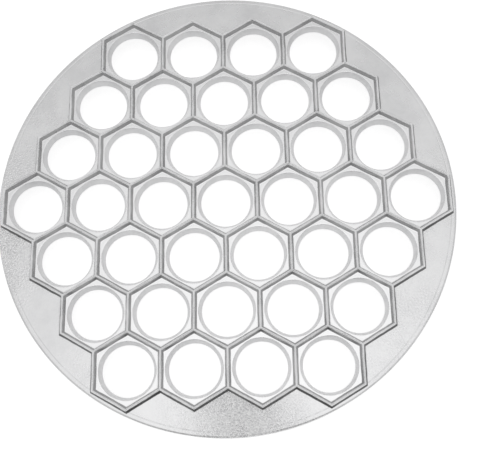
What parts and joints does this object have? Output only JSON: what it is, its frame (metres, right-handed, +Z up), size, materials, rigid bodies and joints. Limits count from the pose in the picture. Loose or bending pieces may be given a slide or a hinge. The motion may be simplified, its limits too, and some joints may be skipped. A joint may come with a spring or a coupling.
{
  "type": "pelmeni mold",
  "caption": "Round one-piece aluminium mold with a honeycomb of sharp-crested hexagonal cells, each with a flared round hole, for cutting and sealing filled dumplings.",
  "frame": {"origin": "centre of the disc, on the table under the foot rim", "axes": "+Z up, out of the working side; +X along a row of cells; +Y towards the far row, the top row in the picture"},
  "size_m": [0.24, 0.24, 0.015],
  "materials": {
    "cast_aluminium": "bare sand-cast aluminium, lightly tumbled"
  },
  "bodies": {
    "root": {"cell_1_1": "cast_aluminium", "cell_1_2": "cast_aluminium", "cell_1_3": "cast_aluminium", "cell_1_4": "cast_aluminium", "cell_2_1": "cast_aluminium", "cell_2_2": "cast_aluminium", "cell_2_3": "cast_aluminium", "cell_2_4": "cast_aluminium", "cell_2_5": "cast_aluminium", "cell_3_1": "cast_aluminium", "cell_3_2": "cast_aluminium", "cell_3_3": "cast_aluminium", "cell_3_4": "cast_aluminium", "cell_3_5": "cast_aluminium", "cell_3_6": "cast_aluminium", "cell_4_1": "cast_aluminium", "cell_4_2": "cast_aluminium", "cell_4_3": "cast_aluminium", "cell_4_4": "cast_aluminium", "cell_4_5": "cast_aluminium", "cell_4_6": "cast_aluminium", "cell_4_7": "cast_aluminium", "cell_5_1": "cast_aluminium", "cell_5_2": "cast_aluminium", "cell_5_3": "cast_aluminium", "cell_5_4": "cast_aluminium", "cell_5_5": "cast_aluminium", "cell_5_6": "cast_aluminium", "cell_6_1": "cast_aluminium", "cell_6_2": "cast_aluminium", "cell_6_3": "cast_aluminium", "cell_6_4": "cast_aluminium", "cell_6_5": "cast_aluminium", "cell_7_1": "cast_aluminium", "cell_7_2": "cast_aluminium", "cell_7_3": "cast_aluminium", "cell_7_4": "cast_aluminium", "flange_lobe_1": "cast_aluminium", "flange_lobe_2": "cast_aluminium", "flange_lobe_3": "cast_aluminium", "flange_lobe_4": "cast_aluminium", "flange_lobe_5": "cast_aluminium", "flange_lobe_6": "cast_aluminium", "foot_rim": "cast_aluminium"}
  },
  "joints": []
}
